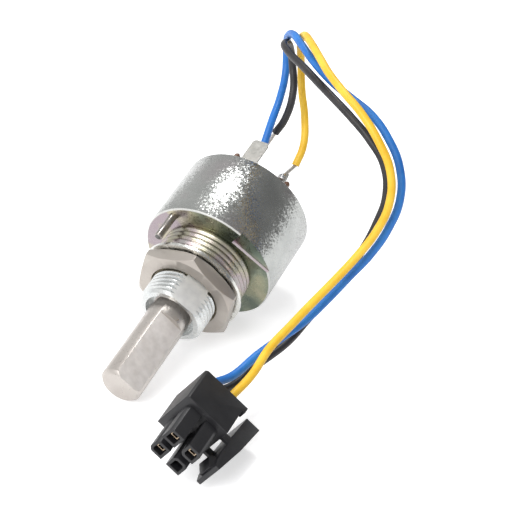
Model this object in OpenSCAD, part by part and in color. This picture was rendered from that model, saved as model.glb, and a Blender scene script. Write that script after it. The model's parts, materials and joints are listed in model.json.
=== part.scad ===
// Rotary potentiometer with its mounting hardware, three leads and a 2 by 2 connector.
// It lies on its front rim, its shaft tip and the connector's latch.
// The pot's own frame has Z along the shaft towards the tip, with 0 at the can's front face.

/* [Can] */
// Outer diameter of the can
can_d = 20; // [19:0.5:24]
// Length of the can behind its front face
can_len = 12.3; // [11.5:0.1:16]
// Thickness of the can's side wall
can_wall = 0.55; // [0.4:0.05:0.8]
// Thickness of the front face
face_t = 1.4; // [1:0.1:2]
// Broken edge between the front face and the side
rim_edge = 0.2; // [0.1:0.05:0.4]
// Depth of the lowered quadrant of the front face
step_drop = 0.14; // [0.05:0.01:0.3]
// Depth of the notch at the rim of that quadrant
notch_drop = 0.42; // [0.3:0.02:0.7]
// Width of the notch, from the rim to its straight wall
notch_w = 2.6; // [1.5:0.1:2.8]

/* [Boss] */
// Diameter of the ridged boss round the bushing
boss_d = 14; // [13:0.5:15]
// Height of the ridged boss above the front face
boss_h = 4.2; // [3.5:0.1:5]
// Number of rounded ridges along the boss
boss_ridges = 5; // [2:1:6]
// Depth of the grooves between the ridges
ridge_drop = 0.3; // [0.2:0.05:0.5]

/* [Bushing] */
// Outside diameter of the bushing's thread
thread_d = 10; // [9.5:0.25:12]
// Pitch of that thread
thread_pitch = 0.75; // [0.5:0.25:1]
// Length of the bushing in front of the can's face
bushing_len = 11.3; // [10.5:0.1:14]
// Depth of the flat along the thread
flat_cut = 0.8; // [0.4:0.05:0.9]
// Radial gap between the shaft and the counterbore at the bushing's mouth
mouth_gap = 0.8; // [0.5:0.05:1]
// Depth of that counterbore
mouth_depth = 1.2; // [0.6:0.1:2]
// Thickness of the bushing's collar inside the can
collar_t = 0.6; // [0.4:0.1:1]

/* [Nut and washer] */
// Width of the nut across its flats
nut_af = 14; // [13:0.5:15]
// Thickness of the nut
nut_t = 2; // [1.8:0.1:2.5]
// Outside diameter of the lock washer
washer_d = 15.5; // [14.5:0.5:16]
// Sheet thickness of the lock washer
washer_t = 0.5; // [0.4:0.05:0.6]
// Height of the washer over its twisted teeth
washer_h = 1; // [0.9:0.05:1.2]
// Number of teeth inside the washer
washer_teeth = 10; // [8:1:12]

/* [Locating pin] */
// Diameter of the locating pin
pin_d = 1.15; // [1:0.05:1.6]
// Length of the pin in front of the can's face
pin_len = 4.5; // [3:0.1:6]
// Distance from the can's side to the pin's own axis
pin_inset = 1.15; // [1:0.05:1.4]

/* [Shaft] */
// Diameter of the shaft
shaft_d = 6; // [5.5:0.1:6.4]
// Distance from the can's face to the shaft's tip
shaft_len = 25.2; // [22:0.1:40]
// Chamfer at the shaft's tip
tip_chamfer = 0.45; // [0.2:0.05:0.8]
// Length of the D flat
flat_len = 12; // [8:0.5:13]
// Distance from the axis to the D flat
flat_reach = 2.2; // [2.1:0.05:2.6]
// Direction of the D flat at rest, in degrees
flat_turn = 43; // [0:1:90]
// Radial running clearance of the shaft in the bushing
shaft_play = 0.03; // [0.01:0.01:0.08]

/* [Works] */
// Travel of the shaft between its stops, in degrees
travel = 300; // [270:5:310]
// Thickness of the brown rear cover
cover_t = 1.6; // [1:0.1:2]
// Thickness of the phenolic disc that carries the track
carrier_t = 1; // [0.8:0.1:1.5]
// Distance from the can's bore to the middle of the resistance track
track_inset = 2.55; // [2.3:0.05:2.9]
// Width of the resistance track
track_w = 1.6; // [1:0.1:2]
// Mean radius of the collector ring
collector_r = 2.9; // [2.7:0.1:3.4]
// Thickness of the rotor's disc
rotor_t = 1.2; // [1:0.1:1.6]

/* [Terminals] */
// Width of a solder lug
lug_w = 2.5; // [1.8:0.1:2.6]
// Thickness of a solder lug
lug_t = 0.3; // [0.2:0.05:0.4]
// Length of a lug behind the can's rear edge
lug_len = 5.2; // [3.5:0.05:6]
// Rounding of a lug's corners
lug_round = 0.6; // [0.3:0.1:0.9]
// Height of the pegs on the rear cover
peg_h = 1.45; // [0.8:0.05:2]
// Diameter of the pegs on the rear cover
peg_d = 0.9; // [0.7:0.05:1]

/* [Leads] */
// Diameter of a lead over its insulation
wire_d = 1.15; // [1.05:0.05:1.2]
// Diameter of a stripped and tinned lead end
strand_d = 0.55; // [0.4:0.05:0.65]
// Radius of the solder on a lug
solder_r = 0.75; // [0.6:0.05:0.9]

/* [Connector] */
// Spacing of the connector's contacts
pitch = 3; // [2.9:0.05:3.3]
// Outside width of one contact tower
tower_w = 2.15; // [1.95:0.05:2.4]
// Length of the contact towers
tower_len = 5.5; // [4:0.1:7]
// Corner cut of the contact towers
tower_cut = 0.45; // [0.2:0.05:0.6]
// Width of a contact cavity
cavity_w = 1.35; // [1.2:0.05:1.5]
// Width of the connector's rear block
block_w = 6.9; // [6.6:0.1:8]
// Height of the connector's rear block
block_h = 6.8; // [6.6:0.1:8]
// Length of the connector's rear block
block_len = 6.1; // [5.5:0.1:8]
// Reach of the latch's thick end beyond the block's side
latch_reach = 3.65; // [3.3:0.05:4.2]
// Width of the latch
latch_w = 4.2; // [3.5:0.1:5]
// Roll of the connector as it lies on its latch
plug_roll = 40; // [30:1:50]
// Turn of the connector on the surface
plug_turn = 7; // [0:1:20]

/* [Hidden] */
$fn = 72;
eps = 0.01;
fit = 0.02;            // clearance of pieces pressed or moulded together
gap = 0.1;             // running clearance between faces that turn past each other
past = 1;              // how far a cutting body runs past what it cuts

can_r = can_d / 2;
bore_r = can_r - can_wall;
shaft_r = shaft_d / 2;
thread_r = thread_d / 2;
minor_r = thread_r - 0.54 * thread_pitch;
boss_r = boss_d / 2;
mouth_r = shaft_r + mouth_gap;
notch_reach = can_r - notch_w;
pin_reach = can_r - pin_inset;
track_r = bore_r - track_inset;

// The pot rests on its rim and its shaft tip, so their radii and places give its tilt.
nose_down = atan((can_r - shaft_r) / (shaft_len - tip_chamfer + rim_edge));
rim_z = can_r * cos(nose_down) - rim_edge * sin(nose_down);

// Front face: the lowered quadrant and its notch, by direction round the axis
step_from = -41;
step_to = 49;
pin_turn = 118.5;
bushing_flat_turn = 49;
nut_turn = 10.5;

// Washer and nut stand on the boss
nut_from = boss_h + washer_h;
nut_to = nut_from + nut_t;
nut_bevel = 30;        // slope of the nut's corner bevels
thread_bevel = 0.5;

// Works, from the front face backwards
collar_back = -face_t - collar_t;
collar_r = thread_r + 0.9;
ring_t = 0.5;
ring_r = 4.4;
ring_front = collar_back - gap;
groove_r = shaft_r - 0.6;
journal_front = ring_front - ring_t - 0.05;
land = 0.5;            // shaft left at full size behind the ring
rotor_front = journal_front - land;
journal_r = 2.3;
journal_flat = 1.9;
hub_r = 4;
arm_t = 1.5;
arm_r = bore_r - 1.25;
arm_half = 12;
stop_inner_r = arm_r - 2.2;
stop_clear = 0.5;
stop_half = (360 - travel) / 2 - arm_half - stop_clear;
stop_back = rotor_front - arm_t - 0.3;
stop_turn = 82;        // the stop, and the gap in the track, on the lugs' side
works_turn = stop_turn + 180;

// Works, from the rear edge forwards
cover_back = -can_len + 0.2;
cover_front = cover_back + cover_t;
carrier_back = cover_front + lug_t;
carrier_front = carrier_back + carrier_t;
track_t = 0.1;
track_front = carrier_front + track_t;
rotor_back = track_front + 1.1;
shaft_back = rotor_back - 0.3;
disc_r = bore_r - 0.85;
disc_fit_r = bore_r - 0.05;
wiper_t = 0.2;
brush_tip = track_front + 0.05;
track_gap_half = 22;
collector_w = 1;

// Each lug: side, height, direction of its face. Its foot reaches its rivet under the disc.
lugs = [[1.2, bore_r - 0.85, 84.5], [-1, 4.1, 84.5], [4.5, 2.65, -25]];
rivet_turns = [101.5, 140, 62.5];
rivet_reach = [track_r, collector_r, track_r];
rivets = [for (i = [0:2]) rivet_reach[i] * [cos(rivet_turns[i]), sin(rivet_turns[i])]];
lug_back = -can_len - lug_len;
rivet_r = 0.6;
rivet_head_r = 1;
rivet_head_t = 0.3;
peg_r = disc_fit_r - peg_d / 2 - gap;
peg_turns = [95, 39];

// Connector: X from blue to yellow, Y from blue to black, Z towards the mating end
cells = [[-1, -1], [-1, 1], [1, -1], [1, 1]];
block_front = -tower_len;
block_back = -tower_len - block_len;
latch_inner = block_w / 2 + 1.1;
latch_outer = block_w / 2 + latch_reach;
latch_mid = latch_outer - 0.65;
latch_nose = latch_outer - 1.65;
latch_nose_t = 0.65;
latch_end = -1.05;
web_t = 0.5;
web_from = block_front - 1.3;
web_to = block_front - 0.1;
hook_len = 2;
entry_w = 2.05;        // wire entry at the rear of each cavity
entry_len = 3.2;
grip_t = 0.15;
wire_stop = block_back + 2.5;
plug_x = 16.1;
plug_y = -32.39;
plug_z = latch_outer * sin(plug_roll) + latch_w / 2 * cos(plug_roll);

// The lead's route points are chosen by hand
blue_route = [
    [1.3, 18.9, 21.7], [1.3, 21.7, 24.9], [0.6, 25.6, 26.8], [-0.2, 28.9, 29.3],
    [-0.5, 29.8, 33.2], [0.9, 27.4, 36], [3.4, 24.3, 37.9], [6.2, 21.3, 38],
    [9.4, 18.7, 37.1], [13, 16.6, 35.9], [16.8, 15.1, 34.8], [20.7, 13.9, 33.4],
    [23.9, 12.4, 31.2], [26.4, 10.6, 28.4], [27.5, 8.6, 24.9], [26.8, 6.7, 21.1],
    [25.1, 4.9, 17.5], [23, 2.8, 14.5], [21.1, 0, 11.8], [19.5, -3.5, 9.9],
    [17.9, -7.3, 8.9], [16.5, -11.5, 8.2], [15.4, -16, 7.4], [14.48, -20.7, 8.29],
    [14.81, -23.38, 8.29]
];
black_route = [
    [1.2, 22.9, 22.3], [2.3, 23.9, 24.4], [2.8, 25.5, 28.2], [1.5, 27.8, 31.4],
    [1.4, 26.9, 34.9], [2.2, 23.7, 36.3], [4.8, 20.9, 36.3], [8, 18.3, 36.2],
    [11.3, 16, 35.6], [14.7, 14.1, 34.6], [18.2, 12.6, 33.1], [21.5, 11.4, 31.1],
    [24.2, 10.4, 28.3], [25.2, 9.2, 24.5], [24.5, 8, 20.7], [23.2, 6.6, 16.9],
    [21.7, 4.6, 13.6], [20.2, 2.1, 10.8], [18.8, -1.1, 8.6], [17.7, -4.7, 6.8],
    [16.5, -8.4, 6], [15.6, -11.8, 5.8], [15.1, -15.6, 5.4], [12.56, -20.93, 5.99],
    [12.89, -23.62, 5.99]
];
yellow_route = [
    [4.6, 23, 17.7], [4.9, 24.9, 20.1], [3.8, 27.5, 23.4], [2.1, 29.8, 26.8],
    [1.2, 31.2, 30.8], [1.9, 29.5, 34.2], [3.6, 26.6, 36.7], [5.7, 23.5, 38.5],
    [8.2, 20.3, 39], [11, 17.1, 38.8], [14, 14.1, 38.1], [17.3, 11.7, 37.1],
    [20.9, 9.9, 35.4], [24, 8.6, 32.7], [26.3, 7.6, 29.3], [26.9, 6.4, 25.2],
    [25.9, 4.7, 21.4], [24.1, 2.4, 18.1], [22.2, -0.3, 15.3], [20.5, -3.7, 13],
    [19.3, -7.3, 11.3], [18.2, -11.2, 9.7], [17.7, -15.3, 7.7], [16.76, -20.42, 6.36],
    [17.09, -23.1, 6.36]
];

routes = [blue_route, black_route, yellow_route];
leaves_at = [1.5, -0.1, -0.1];
solder_up = 0.7;
bead = 0.12;           // how much wider a bare end is over the bead where it bends

// The origin is under the middle of the pot's own box: the shaft tip is its front,
// and the rounded corner of the lowest lug is its rear.
front_reach = shaft_len * cos(nose_down) + (shaft_r - tip_chamfer) * sin(nose_down);
low_lug = lugs[2];
corner_out = lug_w / 2 - lug_round;
corner_x = low_lug[0] + sin(low_lug[2]) * corner_out;
corner_up = low_lug[1] - cos(low_lug[2]) * corner_out - abs(sin(low_lug[2])) * lug_t / 2;
corner_lean = cos(low_lug[2]) * sin(nose_down);
rear_reach = -(lug_back + lug_round) * cos(nose_down) - corner_up * sin(nose_down)
    + lug_round * sqrt(pow(cos(nose_down), 2) + pow(corner_lean, 2));
rim_y = (front_reach - rear_reach) / 2;

module in_pot() {
    translate([0, rim_y, rim_z])
        rotate([90 + nose_down, 0, 0])
            children();
}

module in_plug() {
    translate([plug_x, plug_y, plug_z])
        rotate([0, 0, plug_turn])
            rotate([0, plug_roll, 0])
                rotate([90, 0, 0])
                    mirror([0, 1, 0])
                        children();
}

// Place of a point of the pot's frame on the surface
function pot_point(p) = [
    p[0],
    rim_y - p[2] * cos(nose_down) - p[1] * sin(nose_down),
    rim_z - p[2] * sin(nose_down) + p[1] * cos(nose_down)
];

function unit(v) = v / norm(v);

// Wedge about the axis, from one direction to another, wider than the part
module wedge(from, to, reach, low, high) {
    steps = 4;
    points = [
        [0, 0],
        for (i = [0:steps]) let (a = from + (to - from) * i / steps)
            reach / cos((to - from) / steps / 2) * [cos(a), sin(a)]
    ];
    translate([0, 0, low])
        linear_extrude(high - low)
            polygon(points);
}

// Profile of the ridged boss, from the face up its side
function ridge_points(i, step, n = 6) = [
    for (k = [0:n]) let (a = 180 * k / n)
        [boss_r - ridge_drop + ridge_drop * sin(a), (i + k / n) * step]
];

module housing() {
    step = boss_h / boss_ridges;
    boss_profile = [
        [thread_r + fit, 0],
        for (i = [0:boss_ridges - 1]) each ridge_points(i, step),
        [thread_r + fit, boss_h]
    ];
    color([0.72, 0.74, 0.72]) in_pot() {
        difference() {
            union() {
                rotate_extrude()
                    polygon([
                        [thread_r + fit, -face_t],
                        [bore_r, -face_t],
                        [bore_r, -can_len],
                        [can_r, -can_len],
                        [can_r, -rim_edge],
                        [can_r - rim_edge, 0],
                        [thread_r + fit, 0]
                    ]);
                // Stop for the rotor's arm, on the face and the side wall
                intersection() {
                    rotate_extrude()
                        polygon([
                            [stop_inner_r, -face_t + eps],
                            [stop_inner_r, stop_back],
                            [bore_r + eps, stop_back],
                            [bore_r + eps, -face_t + eps]
                        ]);
                    wedge(stop_turn - stop_half, stop_turn + stop_half, can_r,
                        stop_back - eps, 0);
                }
            }
            wedge(step_from, step_to, can_r + past, -step_drop, past);
            intersection() {
                wedge(step_from, step_to, can_r + past, -notch_drop, past);
                rotate([0, 0, step_to])
                    translate([notch_reach, -can_d, -notch_drop])
                        cube([can_r, can_d, notch_drop + past]);
            }
            rotate([0, 0, pin_turn])
                translate([pin_reach, 0, -face_t - eps])
                    cylinder(h = face_t + past, d = pin_d + 2 * fit);
        }
        // The boss stands on the uncut middle of the face
        difference() {
            union() {
                rotate_extrude() polygon(boss_profile);
                translate([0, 0, -step_drop])
                    cylinder(h = step_drop + eps, r = boss_r - ridge_drop);
            }
            translate([0, 0, -step_drop - past])
                cylinder(h = step_drop + boss_h + 2 * past, r = thread_r + fit);
        }
    }
}

module threaded_bushing() {
    color([0.78, 0.78, 0.76]) in_pot()
        difference() {
            rotate_extrude()
                polygon([
                    [shaft_r + shaft_play, collar_back],
                    [collar_r, collar_back],
                    [collar_r, -face_t],
                    [thread_r, -face_t],
                    [thread_r, boss_h],
                    [minor_r, boss_h],
                    [minor_r, nut_to + eps],
                    [thread_r, nut_to + eps],
                    [thread_r, bushing_len - thread_bevel],
                    [thread_r - thread_bevel, bushing_len],
                    [mouth_r, bushing_len],
                    [mouth_r, bushing_len - mouth_depth],
                    [shaft_r + shaft_play, bushing_len - mouth_depth]
                ]);
            rotate([0, 0, bushing_flat_turn])
                translate([thread_r - flat_cut, -thread_d, boss_h])
                    cube([thread_r, 2 * thread_d, bushing_len]);
        }
}

// One washer tooth: a blade from the ring inwards, twisted about its own length
module washer_tooth(inner, outer, twist) {
    width = 1.7;
    translate([(inner + outer) / 2, 0, washer_h / 2])
        rotate([twist, 0, 0])
            cube([outer - inner, width, washer_t * 0.8], center = true);
}

module tooth_lock_washer() {
    tooth_in = thread_r + 0.15;
    ring_in = washer_d / 2 - 1.5;
    twist = 20;
    color([0.75, 0.76, 0.74]) in_pot() translate([0, 0, boss_h])
        union() {
            translate([0, 0, (washer_h - washer_t) / 2])
                difference() {
                    cylinder(h = washer_t, d = washer_d);
                    translate([0, 0, -past]) cylinder(h = washer_t + 2 * past, r = ring_in);
                }
            for (i = [0:washer_teeth - 1])
                rotate([0, 0, 360 * i / washer_teeth])
                    washer_tooth(tooth_in, ring_in + 0.3, twist);
        }
}

module hex_nut() {
    corner_r = nut_af / 2 / cos(30);
    bevel_r = nut_af / 2 + 0.1;
    bevel_h = (corner_r - bevel_r) * tan(nut_bevel);
    bore_bevel = 0.45;
    color([0.74, 0.7, 0.65]) in_pot() translate([0, 0, nut_from])
        difference() {
            intersection() {
                rotate([0, 0, nut_turn]) cylinder(h = nut_t, r = corner_r, $fn = 6);
                rotate_extrude()
                    polygon([
                        [0, 0],
                        [bevel_r, 0],
                        [corner_r + 0.1, bevel_h],
                        [corner_r + 0.1, nut_t - bevel_h],
                        [bevel_r, nut_t],
                        [0, nut_t]
                    ]);
            }
            rotate_extrude()
                polygon([
                    [0, -past],
                    [minor_r + fit, -past],
                    [minor_r + fit, nut_t - bore_bevel],
                    [minor_r + fit + bore_bevel + past, nut_t + past],
                    [0, nut_t + past]
                ]);
        }
}

module locating_pin() {
    bevel = 0.15;
    color([0.6, 0.58, 0.55]) in_pot()
        rotate([0, 0, pin_turn])
            translate([pin_reach, 0, -face_t])
                rotate_extrude()
                    polygon([
                        [0, 0],
                        [pin_d / 2, 0],
                        [pin_d / 2, face_t + pin_len - bevel],
                        [pin_d / 2 - bevel, face_t + pin_len],
                        [0, face_t + pin_len]
                    ]);
}

// Outline of the flatted journal in the rotor
module journal_outline(grow) {
    intersection() {
        circle(r = journal_r + grow);
        square([2 * (journal_flat + grow), 4 * journal_r], center = true);
    }
}

module shaft() {
    relief_depth = 0.2;
    relief_from = bushing_len - 1;
    relief_to = bushing_len + 0.05;
    flat_from = shaft_len - flat_len;
    shoulder_under = 0.01;     // the plain shoulder is turned this much below the D
    color([0.73, 0.69, 0.63]) in_pot() {
        rotate([0, 0, flat_turn]) difference() {
            rotate_extrude()
                polygon([
                    [0, rotor_front],
                    [shaft_r, rotor_front],
                    [shaft_r, journal_front],
                    [groove_r, journal_front],
                    [groove_r, ring_front + 0.05],
                    [shaft_r, ring_front + 0.05],
                    [shaft_r, relief_from],
                    [shaft_r - relief_depth, relief_from],
                    [shaft_r - relief_depth, relief_to],
                    [shaft_r - shoulder_under, relief_to],
                    [shaft_r - shoulder_under, flat_from + 0.05],
                    [shaft_r, flat_from + 0.05],
                    [shaft_r, shaft_len - tip_chamfer],
                    [shaft_r - tip_chamfer, shaft_len],
                    [0, shaft_len]
                ]);
            translate([flat_reach, -shaft_d, flat_from])
                cube([shaft_r, 2 * shaft_d, flat_len + past]);
        }
        rotate([0, 0, works_turn]) translate([0, 0, shaft_back])
            linear_extrude(rotor_front - shaft_back + eps)
                journal_outline(0);
    }
}

module shaft_retaining_ring() {
    mouth = 50;
    color([0.55, 0.56, 0.58]) in_pot() rotate([0, 0, flat_turn])
        difference() {
            translate([0, 0, ring_front - ring_t]) cylinder(h = ring_t, r = ring_r);
            translate([0, 0, ring_front - ring_t - past])
                cylinder(h = ring_t + 2 * past, r = groove_r + fit);
            wedge(-mouth, mouth, ring_r + past, ring_front - ring_t - past, ring_front + past);
        }
}

module rotor() {
    color([0.12, 0.12, 0.13]) in_pot() rotate([0, 0, works_turn])
        difference() {
            union() {
                translate([0, 0, rotor_back])
                    cylinder(h = rotor_front - rotor_back, r = hub_r);
                translate([0, 0, rotor_back])
                    cylinder(h = rotor_t, r = disc_r);
                intersection() {
                    translate([0, 0, rotor_front - arm_t])
                        cylinder(h = arm_t, r = arm_r);
                    wedge(-arm_half, arm_half, arm_r + past,
                        rotor_front - arm_t - past, rotor_front + past);
                }
            }
            translate([0, 0, rotor_back - past])
                linear_extrude(rotor_front - rotor_back + 2 * past)
                    journal_outline(fit);
        }
}

module wiper_contact() {
    plate_half = 24;
    brush_half = 0.35;
    inner = collector_r - brush_half;
    outer = track_r + brush_half + 0.15;
    spread = 7;
    color([0.8, 0.66, 0.35]) in_pot() rotate([0, 0, works_turn]) {
        intersection() {
            translate([0, 0, rotor_back - wiper_t])
                difference() {
                    cylinder(h = wiper_t, r = outer);
                    translate([0, 0, -past]) cylinder(h = wiper_t + 2 * past, r = inner);
                }
            wedge(-plate_half, plate_half, outer + past, rotor_back - past, rotor_back + past);
        }
        for (r = [collector_r, track_r])
            intersection() {
                translate([0, 0, brush_tip])
                    difference() {
                        cylinder(h = rotor_back - wiper_t - brush_tip + eps, r = r + brush_half);
                        translate([0, 0, -past])
                            cylinder(h = rotor_back - brush_tip + 2 * past, r = r - brush_half);
                    }
                wedge(-spread, spread, r + past, brush_tip - past, rotor_back);
            }
    }
}

module rivet_holes() {
    for (p = rivets)
        translate([p[0], p[1], carrier_back - past])
            cylinder(h = carrier_t + 2 * past, r = rivet_r + fit);
}

module element_carrier() {
    color([0.45, 0.3, 0.18]) in_pot()
        difference() {
            translate([0, 0, carrier_back]) cylinder(h = carrier_t, r = disc_fit_r);
            rivet_holes();
        }
}

module film_ring(radius, width) {
    translate([0, 0, carrier_front])
        difference() {
            cylinder(h = track_t, r = radius + width / 2);
            translate([0, 0, -past]) cylinder(h = track_t + 2 * past, r = radius - width / 2);
        }
}

module resistance_track() {
    color([0.08, 0.08, 0.08]) in_pot()
        difference() {
            film_ring(track_r, track_w);
            wedge(stop_turn - track_gap_half, stop_turn + track_gap_half, can_r,
                carrier_front - past, track_front + past);
            rivet_holes();
        }
}

module collector_ring() {
    color([0.8, 0.8, 0.8]) in_pot()
        difference() {
            film_ring(collector_r, collector_w);
            rivet_holes();
        }
}

// Everything that stands out of a lug's slot, as a flat outline
module lug_place(i) {
    translate([lugs[i][0], lugs[i][1], 0])
        rotate([0, 0, lugs[i][2] - 90])
            children();
}

module rear_cover() {
    slot = 0.05;
    color([0.42, 0.27, 0.2]) in_pot() {
        difference() {
            translate([0, 0, cover_back]) cylinder(h = cover_t, r = disc_fit_r);
            for (i = [0:2])
                lug_place(i)
                    translate([-lug_w / 2 - slot, -lug_t / 2 - slot, cover_back - past])
                        cube([lug_w + 2 * slot, lug_t + 2 * slot, cover_t + 2 * past]);
            for (p = rivets)
                translate([p[0], p[1], cover_front - rivet_head_t - gap])
                    cylinder(h = cover_t, r = rivet_head_r + gap);
        }
        for (a = peg_turns)
            rotate([0, 0, a])
                translate([peg_r, 0, -can_len - peg_h])
                    union() {
                        translate([0, 0, peg_d / 3])
                            cylinder(h = peg_h + 0.25 - peg_d / 3, d = peg_d);
                        cylinder(h = peg_d / 3 + eps, d1 = peg_d * 0.6, d2 = peg_d);
                    }
    }
}

module terminal_rivets() {
    color([0.78, 0.78, 0.76]) in_pot()
        for (p = rivets)
            translate([p[0], p[1], 0]) {
                translate([0, 0, cover_front - rivet_head_t])
                    cylinder(h = rivet_head_t, r = rivet_head_r);
                translate([0, 0, cover_front - eps])
                    cylinder(h = track_front - cover_front + eps, r = rivet_r);
            }
}

// Strip of sheet from one point to another, flat on the disc
module foot_strip(p, q, width) {
    d = q - p;
    turn = atan2(d[1], d[0]);
    translate([p[0], p[1], cover_front])
        rotate([0, 0, turn])
            translate([0, -width / 2, 0])
                cube([norm(d), width, lug_t]);
}

// A lug's upright part, from its rounded tip to its foot
module lug_outline() {
    foot_top = cover_front + lug_t - eps;
    translate([-lug_w / 2, lug_back + lug_round])
        square([lug_w, foot_top - lug_back - lug_round]);
    translate([-lug_w / 2 + lug_round, lug_back])
        square([lug_w - 2 * lug_round, lug_round + eps]);
    for (side = [-1, 1])
        translate([side * (lug_w / 2 - lug_round), lug_back + lug_round])
            circle(r = lug_round);
}

module terminal(i) {
    foot_w = 1.6;
    eye_r = 1.1;
    at = [lugs[i][0], lugs[i][1]];
    color([0.77, 0.75, 0.7]) in_pot() {
        difference() {
            union() {
                foot_strip(at, rivets[i], foot_w);
                translate([rivets[i][0], rivets[i][1], cover_front])
                    cylinder(h = lug_t, r = eye_r);
                lug_place(i)
                    translate([0, lug_t / 2, 0])
                        rotate([90, 0, 0])
                            linear_extrude(lug_t) lug_outline();
            }
            translate([rivets[i][0], rivets[i][1], cover_front - past])
                cylinder(h = lug_t + 2 * past, r = rivet_r + fit);
        }
    }
}

// Puts its children at one point, with their Z towards another
module towards(p, q) {
    v = q - p;
    translate(p)
        rotate([0, acos(v[2] / norm(v)), atan2(v[1], v[0])])
            children();
}

// Where each stripped end lies: on its lug, off the lug's tip, and into its insulation
function lug_normal(i) = [cos(lugs[i][2]), sin(lugs[i][2]), 0];
function seat(i) = [lugs[i][0], lugs[i][1], lug_back]
    - lug_normal(i) * (lug_t / 2 + (strand_d + bead) / 2 + fit);

// A stripped end: along its lug, over a bead where it bends, and into its insulation
module bare_end(i, grow) {
    laid = 2.4;
    on_lug = pot_point(seat(i) + [0, 0, laid]);
    bend = pot_point(seat(i) + [0, 0, leaves_at[i]]);
    thick = strand_d + 2 * grow;
    towards(on_lug, bend) cylinder(h = norm(bend - on_lug), d = thick);
    towards(bend, routes[i][0]) {
        sphere(d = thick + bead);
        cylinder(h = norm(routes[i][0] - bend), d = thick);
    }
}

module conductor(i) {
    color([0.8, 0.78, 0.72]) bare_end(i, 0);
}

module solder_joints() {
    color([0.72, 0.73, 0.74])
        for (i = [0:2])
            difference() {
                in_pot() translate(seat(i) + [0, 0, leaves_at[i] + solder_up]) sphere(r = solder_r);
                in_pot() lug_place(i)
                    translate([-lug_w, -lug_t / 2, lug_back - past])
                        cube([
                            2 * lug_w,
                            solder_r + past,
                            leaves_at[i] + solder_up + solder_r + 2 * past
                        ]);
                bare_end(i, fit);
            }
}

// Lead: one tube along its route, with the section carried from ring to ring
sides = 8;
function along(path, i) = i == 0 ? unit(path[1] - path[0])
    : i == len(path) - 1 ? unit(path[i] - path[i - 1])
    : unit(unit(path[i + 1] - path[i]) + unit(path[i] - path[i - 1]));
function across(path, i, last) = unit(last - (last * along(path, i)) * along(path, i));
function frames(path, i = 0, last = [1, 0, 0], out = []) = i == len(path) ? out
    : let (u = across(path, i, last)) frames(path, i + 1, u, concat(out, [u]));

module lead(path) {
    us = frames(path);
    n = len(path);
    points = [
        for (i = [0:n - 1]) let (u = us[i], v = cross(along(path, i), u))
            for (k = [0:sides - 1]) let (a = 360 * k / sides)
                path[i] + wire_d / 2 * (u * cos(a) + v * sin(a))
    ];
    walls = [
        for (i = [0:n - 2]) for (k = [0:sides - 1]) let (m = (k + 1) % sides)
            [i * sides + k, (i + 1) * sides + k, (i + 1) * sides + m, i * sides + m]
    ];
    first = [for (k = [0:sides - 1]) k];
    final = [for (k = [sides - 1:-1:0]) (n - 1) * sides + k];
    polyhedron(points, concat([first], walls, [final]), convexity = 10);
}

module wire_blue() { color([0.1, 0.35, 0.75]) lead(blue_route); }
module wire_black() { color([0.15, 0.15, 0.15]) lead(black_route); }
module wire_yellow() { color([0.98, 0.8, 0.2]) lead(yellow_route); }

// Square with chosen corners cut: cuts lists them from the one at +x +y, counter-clockwise
module keyed_square(w, cuts, cut) {
    h = w / 2;
    corners = [[1, 1], [-1, 1], [-1, -1], [1, -1]];
    polygon([
        for (i = [0:3]) let (c = corners[i], turn = i % 2 == 0)
            each (cuts[i] == 0 ? [h * c]
                : turn ? [[c[0] * h, c[1] * (h - cut)], [c[0] * (h - cut), c[1] * h]]
                : [[c[0] * (h - cut), c[1] * h], [c[0] * h, c[1] * (h - cut)]])
    ]);
}

tower_keys = [[0, 0, 1, 0], [0, 1, 1, 0], [0, 1, 0, 1], [0, 0, 1, 1]];

// Latch lever in the plane of the connector's X and Z
module latch_outline() {
    polygon([
        [latch_inner + 0.25, block_back],
        [latch_outer, block_back],
        [latch_mid, block_front - 0.7],
        [latch_mid - 0.55, latch_end - 2.4],
        [latch_nose, latch_end],
        [latch_nose - latch_nose_t, latch_end],
        [latch_inner, latch_end - 1],
        [latch_inner - 0.1, web_from]
    ]);
}

module latch() {
    rotate([90, 0, 0])
        translate([0, 0, -latch_w / 2])
            linear_extrude(latch_w) latch_outline();
    for (side = [-1, 1])
        translate([block_w / 2 - eps, side * (latch_w - web_t) / 2 - web_t / 2, web_from])
            cube([latch_inner - block_w / 2 + 0.2, web_t, web_to - web_from]);
    rotate([90, 0, 0])
        translate([0, 0, -latch_w / 4])
            linear_extrude(latch_w / 2)
                polygon([
                    [latch_inner + 0.1, latch_end - hook_len - 0.4],
                    [latch_inner - 0.75, latch_end - hook_len],
                    [latch_inner - 0.95, latch_end - hook_len + 0.5],
                    [latch_inner - 0.1, latch_end - 0.1],
                    [latch_inner + 0.3, latch_end - 0.4]
                ]);
}

module connector_housing() {
    block_cut = 0.3;
    lip = 0.5;
    lip_len = 1;
    color([0.13, 0.13, 0.14]) in_plug()
        difference() {
            union() {
                translate([0, 0, block_back])
                    linear_extrude(block_len)
                        polygon([
                            [-block_w / 2, -block_h / 2 + block_cut],
                            [-block_w / 2 + block_cut, -block_h / 2],
                            [block_w / 2, -block_h / 2],
                            [block_w / 2, block_h / 2],
                            [-block_w / 2, block_h / 2]
                        ]);
                translate([block_w / 2 - eps, -block_h / 2, block_back])
                    cube([lip, 1.2, lip_len]);
                for (i = [0:3])
                    translate([cells[i][0] * pitch / 2, cells[i][1] * pitch / 2, block_front - eps])
                        linear_extrude(tower_len + eps)
                            keyed_square(tower_w, tower_keys[i], tower_cut);
                latch();
            }
            for (i = [0:3])
                translate([cells[i][0] * pitch / 2, cells[i][1] * pitch / 2, 0]) {
                    translate([0, 0, block_back - past])
                        linear_extrude(2 * past - block_back)
                            keyed_square(cavity_w, tower_keys[i], tower_cut / 2);
                    translate([-entry_w / 2, -entry_w / 2, block_back - past])
                        cube([entry_w, entry_w, entry_len + past]);
                }
        }
}

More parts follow.
